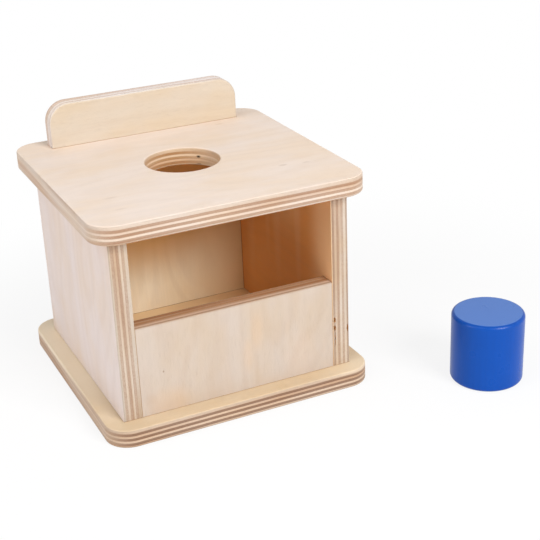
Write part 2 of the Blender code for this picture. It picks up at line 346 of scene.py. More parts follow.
class Finish:
    """A material and short words for the nodes that the finishes share."""

    def __init__(self, name):
        self.material = bpy.data.materials.new(name)
        self.material.use_nodes = True
        self.tree = self.material.node_tree
        self.shader = self.tree.nodes["Principled BSDF"]

    def feed(self, socket, value):
        if isinstance(value, bpy.types.NodeSocket):
            self.tree.links.new(value, socket)
        elif socket.type == "RGBA":
            socket.default_value = (*value[:3], 1.0)
        else:
            socket.default_value = value

    def add(self, kind, inputs, **choices):
        """A node of this kind, with its inputs by name or number, and the choices that it offers."""
        node = self.tree.nodes.new(kind)
        for key, value in choices.items():
            setattr(node, key, value)
        for key, value in inputs.items():
            self.feed(node.inputs[key], value)
        return node

    def math(self, operation, *values, clamp=False):
        inputs = dict(enumerate(values))
        return self.add("ShaderNodeMath", inputs, operation=operation, use_clamp=clamp).outputs[0]

    def times(self, first, second):
        return self.math("MULTIPLY", first, second)

    def without(self, share):
        """What the share leaves of 1."""
        return self.math("SUBTRACT", 1.0, share)

    def plus(self, base, value, share, clamp=False):
        """base, with this share of value added."""
        return self.math("MULTIPLY_ADD", value, share, base, clamp=clamp)

    def swing(self, base, noise, share):
        """base, with this share of the noise added or taken off as it leaves its middle."""
        return self.plus(base, self.math("SUBTRACT", noise, 0.5), share)

    def scaled(self, vector, factors):
        inputs = {0: vector, 1: factors}
        return self.add("ShaderNodeVectorMath", inputs, operation="MULTIPLY").outputs[0]

    def length(self, vector):
        return self.add("ShaderNodeVectorMath", {0: vector}, operation="LENGTH").outputs["Value"]

    def ramp(self, value, start, end, low=0.0, high=1.0):
        """low before start, high after end, and a soft step between them."""
        inputs = {0: value, 1: start, 2: end, 3: low, 4: high}
        return self.add("ShaderNodeMapRange", inputs, interpolation_type="SMOOTHSTEP").outputs[0]

    def blend(self, factor, first, second, mode="MIX"):
        node = self.add("ShaderNodeMix", {}, data_type="RGBA", blend_type=mode)
        self.feed(node.inputs[0], factor)
        self.feed(node.inputs[6], first)
        self.feed(node.inputs[7], second)
        return node.outputs[2]

    def between(self, factor, first, second):
        """A number between first and second."""
        return self.add("ShaderNodeMix", {0: factor, 2: first, 3: second}, data_type="FLOAT").outputs[0]

    def noise(self, vector, scale=1.0, detail=2.0, roughness=0.5):
        inputs = {"Vector": vector, "Scale": scale, "Detail": detail, "Roughness": roughness}
        return self.add("ShaderNodeTexNoise", inputs).outputs[0]

    def pattern(self, vector, repeats, detail, roughness=0.5):
        """Noise that repeats this often in a metre in each of the three directions."""
        return self.noise(self.scaled(vector, repeats), 1.0, detail, roughness)

    def place(self, centre=(0, 0, 0), turn=(0, 0, 0), size=(1, 1, 1), output="Object"):
        """Object coordinates seen from centre, turned into the piece's own directions."""
        source = self.add("ShaderNodeTexCoord", {}).outputs[output]
        inputs = {"Vector": source, "Location": centre, "Rotation": turn, "Scale": size}
        return self.add("ShaderNodeMapping", inputs, vector_type="TEXTURE").outputs[0]

    def split(self, vector):
        return self.add("ShaderNodeSeparateXYZ", {0: vector}).outputs[:]

    def spot(self, centre, radii):
        """1 in the middle of a small round or long spot, and 0 outside it."""
        return self.ramp(self.length(self.place(centre, size=radii)), 1.0, SPOT_CORE)

    def shaded(self, tone, shade):
        """The tone, lighter or darker by the number shade."""
        grey = self.add("ShaderNodeCombineXYZ", {0: shade, 1: shade, 2: shade}).outputs[0]
        return self.scaled(tone, grey)

    def surface(self, tone, roughness, specular=0.5):
        self.feed(self.shader.inputs["Base Color"], tone)
        self.feed(self.shader.inputs["Roughness"], roughness)
        self.shader.inputs["Specular IOR Level"].default_value = specular

    def relief(self, height, depth):
        """Bump of this depth in metres."""
        bump = self.add("ShaderNodeBump", {"Height": height, "Distance": depth, "Strength": 1.0})
        self.feed(self.shader.inputs["Normal"], bump.outputs[0])


# The sheet that the boards are cut from: seven plies, where three darker cross plies lie
# between four lighter ones. All are shares of the board's thickness.
PLY_PITCH = 0.272  # from one cross ply to the next
FACE_PLY_START = 0.352  # from the middle to the outermost plies
CORE_BLUR = 0.012  # how softly they start
PLY_WANDER = 0.03  # how far the plies stray along the board

# The wave through the plies, from -1 to 1
CROSS_PLY_EDGE = -0.15  # where it turns from light to dark
PLY_BLUR = 0.22  # how softly it turns
PLY_JOINT_REACH = 0.30  # how far the line of glue reaches on both sides of the edge
PLY_JOINT_SHARE = 0.30  # how plainly it shows

# Patterns of the wood: how often each repeats in a metre, along the grain, across it and
# through the plies or in all three alike, how many finer layers it has, and how rough they are
PLY_WANDERS = (35.0, 2.0)
GRAIN_STRAYS = (14.0, 1.0)
STREAKS = ((14, 620, 620), 4.0, 0.62)
PORES = ((160, 5200, 5200), 1.0, 0.5)
STRIPES = ((5, 150, 150), 3.0, 0.55)
SWELL = ((5, 17, 17), 1.5, 0.4)  # the slow wave whose contours are the veneer's long flames
MOTTLE = ((16, 34, 34), 3.0, 0.6)
PLY_SHADES = ((9, 9, 230), 1.0, 0.5)
GRIT = ((900, 900, 2400), 3.0, 0.6)  # where the saw tore the edges
GRAIN_STRAY = 0.008  # how far the grain strays from straight
FLAMES = 11  # contours that the slow wave shows from its lowest to its highest
HOLE_TOAST = 0.004  # how far round the hole the edge is toasted

# From where a pattern starts to show to where it shows in full
PORE_STEP = (0.60, 0.74)
MOTTLE_STEP = (0.32, 0.72)
PLY_SHADE_STEP = (0.38, 0.66)
GRIT_STEP = (0.42, 0.72)
FLAME_STEP = (-0.2, 1.0)
OUTER_STEP = (-0.1, 0.1)  # from the inner face to the outer one
VENEER_STEP = (0.15, 0.85)  # from the edges to the faces, over the arrises

# How much each one lightens or darkens the wood. The first two are pairs, for the edges
# and for the faces.
STREAK_SHADES = (0.16, 0.09)
STRIPE_SHADES = (0.09, 0.06)
EVEN_SHADE = 1.01
OUTER_PLY_SHADE = -0.12
PORE_SHADE = -0.07
# Painted shade on the arrises, where the light catches them, and more on those along the grain
ARRIS_SHADE = -0.05
LONG_ARRIS_SHADE = -0.72  # more on an arris that runs along the grain

# How plainly the torn edges show, and how much more on end grain
TORN_SHARE = 0.12
TORN_END_SHARE = 0.26

# The sealer, with what the streaks, the end grain and the rubbed arrises change in it, and
# the relief of the grain
SEALER_ROUGHNESS = 0.52
STREAK_ROUGHNESS = 0.22
END_GRAIN_ROUGHNESS = 0.12
ARRIS_ROUGHNESS = -0.5
SEALER_SPECULAR = 0.35
GRAIN_RELIEF = 0.00005
PORE_RELIEF = -0.8
PLY_JOINT_RELIEF = -0.6

DEEPER_PLY = srgb(236, 222, 210)
WARMER_PATCH = srgb(253, 247, 236)
PLY_JOINT_TONE = srgb(126, 92, 68)
RING_TONE = srgb(150, 104, 60)


class Sheet:
    """How a board lies in its sheet of plywood, and how its faces and edges look.

    outward points through the plies to the board's outer face, and grain runs along its
    face grain. figure is how plainly the flames of the peeled veneer show.
    """

    def __init__(self, node, outward, grain, outer, inner, figure=0.03):
        self.node = node
        self.outward = outward
        self.grain = grain
        self.outer = outer
        self.inner = inner
        self.figure = figure
        self.hole_radius = None

    def edges(self, light, dark, end_tone=0.4, end_bands=0.2, end_shade=0.0, shift=0.0):
        """light and dark are the plies on the edges along the grain. The edges across it are in
        between: end_tone is their general darkness, and end_bands is how much darker their cross
        plies are. end_shade darkens all of them. shift is how far the plies lie off the middle, as
        a share of the thickness.
        """
        self.light = light
        self.dark = dark
        self.end_tone = end_tone
        self.end_bands = end_bands
        self.end_shade = end_shade
        self.shift = shift

    def hole(self, radius, light, dark):
        """A round hole in the middle of the board, whose wall shows these plies."""
        self.hole_radius = radius
        self.hole_light = light
        self.hole_dark = dark

    def thickness(self):
        low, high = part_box(self.node)
        return min(high - low)

    def turn(self):
        across = self.outward.cross(self.grain)
        return Matrix((self.grain, across, self.outward)).transposed().to_euler()


def plies(finish, sheet, place):
    """Shares of the core, of its darker cross plies and of the lines of glue between its plies.

    The plies are a wave through the thickness, which wanders a little along the board.
    """
    depth = finish.math("DIVIDE", finish.split(place)[2], sheet.thickness())
    depth = finish.math("ADD", depth, sheet.shift)
    depth = finish.swing(depth, finish.noise(place, *PLY_WANDERS), PLY_WANDER)
    wave = finish.math("COSINE", finish.times(depth, math.tau / PLY_PITCH))
    from_middle = finish.math("ABSOLUTE", depth)
    core = finish.ramp(from_middle, FACE_PLY_START + CORE_BLUR, FACE_PLY_START - CORE_BLUR)
    cross = finish.times(finish.ramp(wave, CROSS_PLY_EDGE - PLY_BLUR, CROSS_PLY_EDGE + PLY_BLUR), core)
    off_joint = finish.math("ABSOLUTE", finish.math("SUBTRACT", wave, CROSS_PLY_EDGE))
    ply_joint = finish.times(finish.ramp(off_joint, PLY_JOINT_REACH, 0.0), core)
    return core, cross, ply_joint


def face_tone(finish, sheet, grain, outwards):
    """The veneer, with the contours of a slow wave as its long flames."""
    swell = finish.pattern(grain, *SWELL)
    rings = finish.ramp(finish.math("SINE", finish.times(swell, FLAMES * math.tau)), *FLAME_STEP)
    veneer = finish.blend(finish.ramp(outwards, *OUTER_STEP), sheet.inner, sheet.outer)
    return finish.blend(finish.times(rings, sheet.figure), veneer, RING_TONE)


def edge_tone(finish, sheet, place, end_grain, ply_joint):
    """The plies with their lines of glue, toasted round a hole, and torn a little by the saw."""
    light, dark = sheet.light, sheet.dark
    if sheet.hole_radius:
        from_centre = finish.length(finish.scaled(place, (1, 1, 0)))
        reach = sheet.hole_radius + HOLE_TOAST
        in_hole = finish.ramp(from_centre, reach, reach - HOLE_TOAST / 2)
        light = finish.blend(in_hole, light, sheet.hole_light)
        dark = finish.blend(in_hole, dark, sheet.hole_dark)
    edge = finish.blend(end_grain, light, dark)
    edge = finish.blend(finish.times(ply_joint, PLY_JOINT_SHARE), edge, PLY_JOINT_TONE)
    deeper = finish.blend(1.0, edge, DEEPER_PLY, "MULTIPLY")
    edge = finish.blend(finish.ramp(finish.pattern(place, *PLY_SHADES), *PLY_SHADE_STEP), edge, deeper)
    grit = finish.ramp(finish.pattern(place, *GRIT), *GRIT_STEP)
    torn = finish.times(grit, finish.plus(TORN_SHARE, end_grain, TORN_END_SHARE))
    return finish.blend(torn, edge, PLY_JOINT_TONE)


def plywood(sheet, spots=()):
    """Sealed birch plywood, solid through the board: veneer on its faces, plies on its edges."""
    finish = Finish(f"{sheet.node} plywood")
    turn = sheet.turn()
    place = finish.place(middle_of(sheet.node), turn)
    facing = finish.split(finish.place(turn=turn, output="Normal"))
    end_facing, side_facing, face_facing = (finish.times(value, value) for value in facing)
    on_face = finish.ramp(face_facing, *VENEER_STEP)
    off_face = finish.without(on_face)
    core, cross, ply_joint = plies(finish, sheet, place)

    # Where the cut shows end grain
    end_tone = finish.plus(sheet.end_tone - sheet.end_bands / 2, cross, sheet.end_bands)
    end_grain = finish.plus(finish.times(end_facing, end_tone), side_facing, cross, clamp=True)

    # Grain: fine streaks and pores that turn with the plies, and broad soft stripes
    stray = finish.swing(0.0, finish.noise(place, *GRAIN_STRAYS), GRAIN_STRAY)
    stray = finish.add("ShaderNodeCombineXYZ", {1: stray}).outputs[0]
    grain = finish.add("ShaderNodeVectorMath", {0: place, 1: stray}, operation="ADD").outputs[0]

    def turning(repeats, detail, roughness):
        along, across, through = repeats
        turned = finish.scaled(place, (across, along, through))
        where = finish.blend(cross, finish.scaled(grain, repeats), turned)
        return finish.noise(where, 1.0, detail, roughness)

    streaks = turning(*STREAKS)
    pores = finish.ramp(turning(*PORES), *PORE_STEP)
    stripes = finish.pattern(grain, *STRIPES)

    # Colour
    edge = edge_tone(finish, sheet, place, end_grain, ply_joint)
    wood = finish.blend(on_face, edge, face_tone(finish, sheet, grain, facing[2]))
    warm = finish.blend(1.0, wood, WARMER_PATCH, "MULTIPLY")
    wood = finish.blend(finish.ramp(finish.pattern(place, *MOTTLE), *MOTTLE_STEP), wood, warm)
    shade = finish.swing(EVEN_SHADE, streaks, finish.between(on_face, *STREAK_SHADES))
    shade = finish.swing(shade, stripes, finish.between(on_face, *STRIPE_SHADES))
    shade = finish.plus(shade, finish.times(finish.without(core), off_face), OUTER_PLY_SHADE)
    shade = finish.plus(shade, end_facing, -sheet.end_shade)
    shade = finish.plus(shade, pores, PORE_SHADE)
    # Painted shade on the arrises, where the light catches them, most on those along the grain
    painted_lighting = finish.times(face_facing, finish.plus(ARRIS_SHADE, side_facing, LONG_ARRIS_SHADE))
    shade = finish.plus(shade, painted_lighting, off_face)
    wood = finish.shaded(wood, shade)
    # The spots: marks of the wood, and patches of painted light and painted shade
    for centre, radii, tone, strength in spots:
        wood = finish.blend(finish.times(finish.spot(centre, radii), strength), wood, tone)

    # Surface: satin sealer, smoother on the rubbed arrises, more open on end grain
    arris = finish.times(face_facing, finish.without(face_facing))
    rough = finish.swing(SEALER_ROUGHNESS, streaks, STREAK_ROUGHNESS)
    rough = finish.plus(rough, end_grain, END_GRAIN_ROUGHNESS)
    rough = finish.plus(rough, arris, ARRIS_ROUGHNESS, clamp=True)
    finish.surface(wood, rough, SEALER_SPECULAR)
    height = finish.plus(finish.plus(streaks, pores, PORE_RELIEF), ply_joint, PLY_JOINT_RELIEF)
    finish.relief(height, GRAIN_RELIEF)
    return finish.material


GLUE_LUMPS = (420.0, 3.0)  # how often they repeat in a metre, and their finer layers
GLUE_DARKEST = 0.6
GLUE_ROUGHNESS = (0.25, 0.3)  # at its smoothest, and what the lumps add
GLUE_RELIEF = 0.00008


def dried_glue(tone):
    """Amber wood glue, lumpy where it dried."""
    finish = Finish("dried glue")
    lumps = finish.noise(finish.place(), *GLUE_LUMPS)
    amber = finish.blend(lumps, tone, [GLUE_DARKEST * channel for channel in tone])
    smoothest, lumpier = GLUE_ROUGHNESS
    finish.surface(amber, finish.plus(smoothest, lumps, lumpier))
    finish.relief(lumps, GLUE_RELIEF)
    return finish.material


# The beech's patterns: how often they repeat in a metre, across the dowel twice and along
# it, and their finer layers
BEECH_STREAKS = ((1500, 1500, 60), 3.0)
BEECH_FLECKS = ((3200, 3200, 420), 1.0)
BEECH_FLECK_STEP = (0.60, 0.68)
BEECH_FLECK_SHARE = 0.6
BEECH_FLECK_TONE = srgb(134, 84, 48)
BEECH_DARKEST = 0.72
BEECH_ROUGHNESS = (0.6, 0.2)  # at its smoothest, and what the streaks add
BEECH_RELIEF = 0.00006


def beech_wood(name, tone, turn):
    """Beech with its short dark flecks along the dowel."""
    finish = Finish(name)
    place = finish.place(turn=turn)
    streaks = finish.pattern(place, *BEECH_STREAKS)
    flecks = finish.ramp(finish.pattern(place, *BEECH_FLECKS), *BEECH_FLECK_STEP)
    wood = finish.blend(streaks, tone, [BEECH_DARKEST * channel for channel in tone])
    wood = finish.blend(finish.times(flecks, BEECH_FLECK_SHARE), wood, BEECH_FLECK_TONE)
    smoothest, rougher = BEECH_ROUGHNESS
    finish.surface(wood, finish.plus(smoothest, streaks, rougher))
    finish.relief(finish.math("SUBTRACT", streaks, flecks), BEECH_RELIEF)
    return finish.material


# The lacquer's patterns, in the same way
ORANGE_PEEL = (900.0, 2.0, 0.45)
PAINT_CLOUD = (70.0, 2.0)
PAINT_WEAR = (240.0, 3.0)
PAINT_GRAIN = ((520, 520, 18), 3.0)
PAINT_DARKEST = 0.86
PAINT_GRAIN_TONE, PAINT_GRAIN_SHARE = srgb(8, 86, 190), 0.2
WORN_TONE, WORN_SHARE = srgb(50, 108, 196), 0.20
WORN_STEP = (0.50, 0.78)
# How far a place faces up or down: the flat ends, and the rims from outside and from within
FLAT_END_STEP = (0.93, 0.995)
RIM_OUTER_STEP = (0.2, 0.6)
RIM_INNER_STEP = (0.98, 0.75)
# How plainly the painted reflection shows on the flat ends
END_SHEEN_SHARE = (0.92, 0.16)  # at its least, and what the cloud adds
PAINT_ROUGHNESS = (0.24, 0.10)  # at its smoothest, and what the cloud adds
PAINT_SPECULAR = 0.2
PAINT_RELIEF = 0.00002
PAINT_GRAIN_RELIEF = 0.4


def lacquer(tone, painted_lighting):
    """Sprayed lacquer with a fine orange peel.

    The grain shows through faintly, the rims are worn a little, and the flat ends are painted paler: a
    painted reflection of the pale surroundings.
    """
    finish = Finish("blue lacquer")
    place = finish.place(middle_of("cylinder"))
    peel = finish.noise(place, *ORANGE_PEEL)
    grain = finish.pattern(place, *PAINT_GRAIN)
    cloud = finish.noise(place, *PAINT_CLOUD)
    paint = finish.blend(cloud, tone, [PAINT_DARKEST * channel for channel in tone])
    paint = finish.blend(finish.times(grain, PAINT_GRAIN_SHARE), paint, PAINT_GRAIN_TONE)
    up = finish.math("ABSOLUTE", finish.split(finish.place(output="Normal"))[2])
    # Painted reflection: the flat ends painted paler, as the pale surroundings would show in them
    least, cloudy = END_SHEEN_SHARE
    end_sheen = finish.times(finish.ramp(up, *FLAT_END_STEP), finish.plus(least, cloud, cloudy))
    paint = finish.blend(end_sheen, paint, painted_lighting)
    rim = finish.times(finish.ramp(up, *RIM_OUTER_STEP), finish.ramp(up, *RIM_INNER_STEP))
    worn = finish.times(rim, finish.ramp(finish.noise(place, *PAINT_WEAR), *WORN_STEP))
    paint = finish.blend(finish.times(worn, WORN_SHARE), paint, WORN_TONE)
    smoothest, cloudier = PAINT_ROUGHNESS
    finish.surface(paint, finish.plus(smoothest, cloud, cloudier), PAINT_SPECULAR)
    finish.relief(finish.plus(peel, grain, PAINT_GRAIN_RELIEF), PAINT_RELIEF)
    return finish.material


# Marks of the wood, and painted light and painted shade

KNOT_TONE = srgb(120, 84, 58)
FLECK_TONE = srgb(160, 130, 104)
PITCH_TONE = srgb(104, 92, 58)
# Painted shade in the voids of the plies
VOID_SHADE_TONE = srgb(48, 30, 18)
# A pale tone, painted light on the base's left strip
PALE_TONE = srgb(242, 226, 200)
# Painted bounce light inside the box
PAINTED_BOUNCE_LIGHT_TONE = srgb(250, 222, 178)
# A honey tone: painted warm shade on the back, blotches of the veneer on the lip
HONEY_TONE = srgb(230, 172, 98)
# Painted light, and lighter streaks, on the right side's inner face
INSIDE_LIGHTER_TONE = srgb(248, 216, 176)
PLY_LIGHT_TONE = srgb(226, 206, 186)
# Painted shade along the lip's front arris
PAINTED_ARRIS_SHADE_TONE = srgb(140, 112, 88)

# Where each mark or patch of painted light or shade lies, its half sizes along X, Y and Z, its tone and how
# plainly it shows
BASE_SPOTS = (
    # Painted light on the base's left strip, which lifts the shade beside the left side
    ((-0.0825, 0.0420, 0.0120), (0.0160, 0.1350, 0.0040), PALE_TONE, 0.85),
    # Painted bounce light on the base inside the box, at the back
    ((0.0050, 0.0560, 0.0120), (0.0950, 0.0400, 0.0040), PAINTED_BOUNCE_LIGHT_TONE, 0.95),
    ((0.0490, 0.0560, 0.0120), (0.0300, 0.0400, 0.0040), PAINTED_BOUNCE_LIGHT_TONE, 0.95),
    # Lighter at the base's front right corner
    ((0.0900, -0.0830, 0.0120), (0.0500, 0.0200, 0.0040), PALE_TONE, 0.40),
)
TOP_SPOTS = (
    ((0.0503, -0.0446, 0.1445), (0.0042, 0.0022, 0.002), FLECK_TONE, 0.28),
    ((0.0652, -0.0472, 0.1445), (0.0038, 0.0018, 0.002), FLECK_TONE, 0.18),
    ((0.0511, 0.0581, 0.1445), (0.0040, 0.0014, 0.002), FLECK_TONE, 0.24),
    ((-0.0635, -0.0435, 0.1445), (0.0060, 0.0022, 0.002), FLECK_TONE, 0.12),
    ((-0.0640, -0.0644, 0.1445), (0.0050, 0.0018, 0.002), FLECK_TONE, 0.12),
    # Painted shade in two voids of the plies in the hole's wall
    ((0.01783, 0.01629, 0.13858), (0.0021, 0.0021, 0.0012), VOID_SHADE_TONE, 0.98),
    ((0.01790, 0.01610, 0.13370), (0.0022, 0.0022, 0.0008), VOID_SHADE_TONE, 0.45),
)
BACK_PAINTED_SHADE_AND_LIGHT = (
    # Painted warm shade on the upper back, under the top
    ((0.0000, 0.0645, 0.0850), (0.1600, 0.0060, 0.0550), HONEY_TONE, 0.85),
    ((0.0000, 0.0645, 0.1300), (0.2400, 0.0060, 0.0600), HONEY_TONE, 0.95),
    # Painted bounce light on the lower right of the back
    ((0.0700, 0.0645, 0.0300), (0.0700, 0.0040, 0.0600), PAINTED_BOUNCE_LIGHT_TONE, 0.75),
)
LIP_SPOTS = (
    ((0.0000, -0.0740, 0.0725), (0.2400, 0.0018, 0.0040), PLY_LIGHT_TONE, 0.60),
    # Painted shade along the lip's front arris
    ((0.0000, -0.0765, 0.0725), (0.2400, 0.0020, 0.0014), PAINTED_ARRIS_SHADE_TONE, 0.70),
    ((-0.05067, -0.0765, 0.03986), (0.0008, 0.002, 0.0010), KNOT_TONE, 0.55),
    ((-0.0604, -0.0765, 0.0232), (0.0060, 0.002, 0.0050), FLECK_TONE, 0.12),
    ((-0.0480, -0.0765, 0.0180), (0.0200, 0.002, 0.0140), HONEY_TONE, 0.10),
    ((0.0130, -0.0765, 0.0520), (0.0060, 0.002, 0.0200), HONEY_TONE, 0.10),
    ((0.0060, -0.0765, 0.0360), (0.0050, 0.002, 0.0160), HONEY_TONE, 0.09),
    ((0.0420, -0.0765, 0.0280), (0.0150, 0.002, 0.0220), HONEY_TONE, 0.06),
)
STOP_SPOTS = (
    ((-0.06724, 0.0670, 0.14542), (0.0014, 0.004, 0.0016), PITCH_TONE, 0.55),
)
INSIDE_LIGHT_AND_STREAKS = (
    # Painted light on the upper part of the right side's inner face
    ((0.0665, -0.0020, 0.1350), (0.0008, 0.0500, 0.0650), INSIDE_LIGHTER_TONE, 0.50),
    # Lighter vertical streaks on the inner face
    ((0.0665, 0.0180, 0.1150), (0.0008, 0.0060, 0.0700), INSIDE_LIGHTER_TONE, 0.16),
    ((0.0665, 0.0030, 0.1050), (0.0008, 0.0090, 0.0800), INSIDE_LIGHTER_TONE, 0.16),
    ((0.0665, -0.0290, 0.1050), (0.0008, 0.0070, 0.0700), INSIDE_LIGHTER_TONE, 0.18),
    ((0.0665, 0.0470, 0.0900), (0.0008, 0.0100, 0.0800), INSIDE_LIGHTER_TONE, 0.12),
    # Painted light on the front of the inner face, where light comes in
    ((0.0665, -0.0720, 0.1000), (0.0008, 0.0320, 0.2000), INSIDE_LIGHTER_TONE, 0.50),
)

# Open voids in the right side's front edge: where each lies, and its half sizes
EDGE_VOIDS = (
    ((0.06796, -0.0765, 0.0451), (0.00075, 0.0024, 0.0020)),
    ((0.06790, -0.0765, 0.0393), (0.00080, 0.0028, 0.0020)),
    ((0.06820, -0.0765, 0.0317), (0.00022, 0.0015, 0.0056)),
    ((0.07730, -0.0761, 0.0375), (0.00060, 0.0016, 0.0029)),
)
# The voids' painted shade: how far it reaches past a hollow, and how plainly it shows
VOID_MARGIN = 1.25  # the dark of a void reaches a little past its hollow
VOID_SHARE = 0.9
VOID_LUMPS = 0.00025


class PERMANENCE_BOX_OT_base_plate(Operator):
    """Model the base: a plate with round corners, drilled for its dowels"""

    bl_idname = "permanence_box.base_plate"
    bl_label = "Base plate"

    def execute(self, context):
        _, finishes, _ = settings()
        piece = plate("base_plate")
        drill_for_dowels(piece, "base_plate")
        sheet = Sheet("base_plate", UP, RIGHT, finishes.base_veneer, finishes.base_veneer)
        light, dark = finishes.base_light_ply, finishes.base_dark_ply
        sheet.edges(light, dark, end_tone=0.18, end_bands=0.26, shift=0.017)
        finish_piece(piece, "base_plate", plywood(sheet, BASE_SPOTS))
        return {"FINISHED"}


class PERMANENCE_BOX_OT_top_plate(Operator):
    """Model the top: a plate with round corners and the round hole that the cylinder drops through"""

    bl_idname = "permanence_box.top_plate"
    bl_label = "Top plate"

    def execute(self, context):
        sizes, finishes, _ = settings()
        low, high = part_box("top_plate")
        centre = (low + high) / 2
        piece = plate("top_plate")
        cut(piece, rod("hole_cutter", centre, UP, sizes.hole_radius, 3 * (high.z - low.z), HOLE_STEPS))

        def on_rim(middle, along):
            out = math.hypot(middle.x - centre.x, middle.y - centre.y)
            return out < sizes.hole_radius + TOUCHING and at(middle.z, low.z, high.z)

        sand(piece, on_rim)
        drill_for_dowels(piece, "top_plate")
        sheet = Sheet("top_plate", UP, RIGHT, finishes.top_veneer, finishes.warm_veneer)
        sheet.edges(finishes.light_ply, finishes.dark_ply, end_tone=0.05, end_bands=0.2, shift=0.05)
        sheet.hole(sizes.hole_radius, finishes.hole_light_ply, finishes.hole_dark_ply)
        finish_piece(piece, "top_plate", plywood(sheet, TOP_SPOTS))
        return {"FINISHED"}


class PERMANENCE_BOX_OT_sides(Operator):
    """Model the two upright sides, with the open voids in the right one's front edge"""

    bl_idname = "permanence_box.sides"
    bl_label = "Sides"

    def execute(self, context):
        _, finishes, _ = settings()
        light, dark = finishes.side_light_ply, finishes.side_dark_ply
        for node, outward in (("left_side", LEFT), ("right_side", RIGHT)):
            low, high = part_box(node)
            outer = low.x if outward == LEFT else high.x
            piece = block(f"{node}_board", low, high)
            sand(piece, lambda middle, along: abs(along.z) > PARALLEL and at(middle.x, outer))
            drill_for_dowels(piece, node)
            spots = []
            if outward == LEFT:
                sheet = Sheet(node, outward, UP, finishes.side_veneer, finishes.back_veneer, figure=0.045)
                sheet.edges(light, dark, shift=-0.02)
            else:
                # Its face grain runs front to back, so its front edge shows the face plies darker
                sheet = Sheet(node, outward, REAR, finishes.side_veneer, finishes.warm_veneer)
                sheet.edges(light, dark, end_tone=0.5, end_bands=-0.9, shift=-0.011)
                # Painted light and lighter streaks on its inner face
                spots.extend(INSIDE_LIGHT_AND_STREAKS)
                for seed, (centre, radii) in enumerate(EDGE_VOIDS):
                    cut(piece, edge_void(centre, radii, seed))
                    # Painted shade in the void
                    spots.append((centre, [VOID_MARGIN * radius for radius in radii], VOID_SHADE_TONE, VOID_SHARE))
            finish_piece(piece, node, plywood(sheet, spots))
        return {"FINISHED"}


class PERMANENCE_BOX_OT_back_panel(Operator):
    """Model the thinner board between the sides at the back"""

    bl_idname = "permanence_box.back_panel"
    bl_label = "Back panel"

    def execute(self, context):
        _, finishes, _ = settings()
        piece = block("back_panel_board", *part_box("back_panel"))
        drill_for_dowels(piece, "back_panel")
        sheet = Sheet("back_panel", REAR, UP, finishes.side_veneer, finishes.back_veneer, figure=0.07)
        sheet.edges(finishes.side_light_ply, finishes.side_dark_ply)
        finish_piece(piece, "back_panel", plywood(sheet, BACK_PAINTED_SHADE_AND_LIGHT))
        return {"FINISHED"}


class PERMANENCE_BOX_OT_front_lip(Operator):
    """Model the low front wall, whose two top edges are sanded"""

    bl_idname = "permanence_box.front_lip"
    bl_label = "Front lip"

    def execute(self, context):
        _, finishes, _ = settings()
        low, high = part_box("front_lip")
        piece = block("front_lip_board", low, high)
        sand(piece, lambda middle, along: abs(along.x) > PARALLEL and at(middle.z, high.z))
        drill_for_dowels(piece, "front_lip")
        sheet = Sheet("front_lip", FRONT, UP, finishes.lip_veneer, finishes.back_veneer, figure=0.05)
        sheet.edges(finishes.light_ply, finishes.lip_edge, end_tone=0.82, end_bands=0.3)
        finish_piece(piece, "front_lip", plywood(sheet, LIP_SPOTS))
        return {"FINISHED"}


class PERMANENCE_BOX_OT_back_stop(Operator):
    """Model the upright stop behind the hole, with its round upper corners"""

    bl_idname = "permanence_box.back_stop"
    bl_label = "Back stop"

    def execute(self, context):
        sizes, finishes, _ = settings()
        low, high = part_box("back_stop")
        piece = block("back_stop_board", low, high)
        round_edges(
            piece,
            lambda middle, along: abs(along.y) > PARALLEL and at(middle.z, high.z),
            sizes.stop_corner,
            sizes.corner_steps,
        )
        sand(piece, lambda middle, along: at(middle.y, low.y, high.y) and not at(middle.z, low.z))
        drill_for_dowels(piece, "back_stop")
        sheet = Sheet("back_stop", FRONT, RIGHT, finishes.stop_veneer, finishes.stop_veneer)
        light, dark = finishes.stop_edge, finishes.stop_dark_ply
        sheet.edges(light, dark, end_tone=0.5, end_bands=0.3, end_shade=0.17)
        finish_piece(piece, "back_stop", plywood(sheet, STOP_SPOTS))
        return {"FINISHED"}


# Each glued joint: the board below or on the left, the one above or on the right, and the
# axis from one to the other
JOINTS = (
    ("base_plate", "left_side", UPRIGHT),
    ("base_plate", "right_side", UPRIGHT),
    ("base_plate", "back_panel", UPRIGHT),
    ("base_plate", "front_lip", UPRIGHT),
    ("left_side", "top_plate", UPRIGHT),
    ("right_side", "top_plate", UPRIGHT),
    ("back_panel", "top_plate", UPRIGHT),
    ("top_plate", "back_stop", UPRIGHT),
    ("left_side", "back_panel", ACROSS),
    ("back_panel", "right_side", ACROSS),
    ("left_side", "front_lip", ACROSS),
    ("front_lip", "right_side", ACROSS),
)
FILM_CLEARANCE = 0.00001  # between the glue and each board


class PERMANENCE_BOX_OT_glue(Operator):
    """Fill every joint with its film of dried glue, set back a little from the faces"""

    bl_idname = "permanence_box.glue"
    bl_label = "Glue"

    def execute(self, context):
        sizes, finishes, _ = settings()
        material = dried_glue(finishes.glue)
        for first, second, axis in JOINTS:
            (low_1, high_1), (low_2, high_2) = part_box(first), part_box(second)
            low = Vector(map(max, low_1, low_2))
            high = Vector(map(min, high_1, high_2))
            for i in range(3):
                if i == axis:
                    low[i], high[i] = high_1[i] + FILM_CLEARANCE, low_2[i] - FILM_CLEARANCE
                else:
                    low[i] += sizes.glue_inset
                    high[i] -= sizes.glue_inset
            piece = block(f"glue_{first}_{second}", low, high)
            crossing = [name for name in dowel_names() if overlaps(name, first) and overlaps(name, second)]
            cut(piece, dowel_drill(crossing))
            piece.data.materials.append(material)
            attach(piece, "box")
        return {"FINISHED"}


